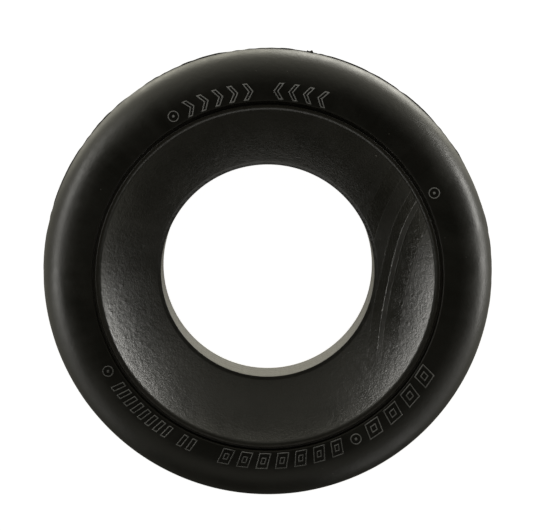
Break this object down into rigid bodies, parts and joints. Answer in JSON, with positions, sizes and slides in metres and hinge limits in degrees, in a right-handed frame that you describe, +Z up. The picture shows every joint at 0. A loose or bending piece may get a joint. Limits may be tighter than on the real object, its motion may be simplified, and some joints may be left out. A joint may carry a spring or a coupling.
{
  "type": "wheel stop",
  "caption": "Round rubber wheel stop: a heavy ring with a rounded outer section, a dished seat that cradles a small jack wheel, a round hole through it, and plain raised marks on its crown.",
  "frame": {"origin": "on the ground, on the ring's axis", "axes": "+Z up along the ring's axis; +Y towards the gap between the two rows of chevrons; +X to the right when looking down with +Y away"},
  "size_m": [0.2425, 0.2424, 0.0645],
  "materials": {
    "ring_rubber": "satin moulded black",
    "seat_rubber": "matte moulded black with flow marks",
    "mark_rubber": "satin moulded black, rubbed on its edges",
    "flash_rubber": "trimmed raw edge, matte black"
  },
  "bodies": {
    "root": {"outer_ring": "ring_rubber", "wheel_seat": "seat_rubber", "parting_flash": "flash_rubber", "gate_stub": "flash_rubber", "chevron_marks": "mark_rubber", "block_marks": "mark_rubber", "bar_marks": "mark_rubber", "round_marks": "mark_rubber"}
  },
  "joints": []
}
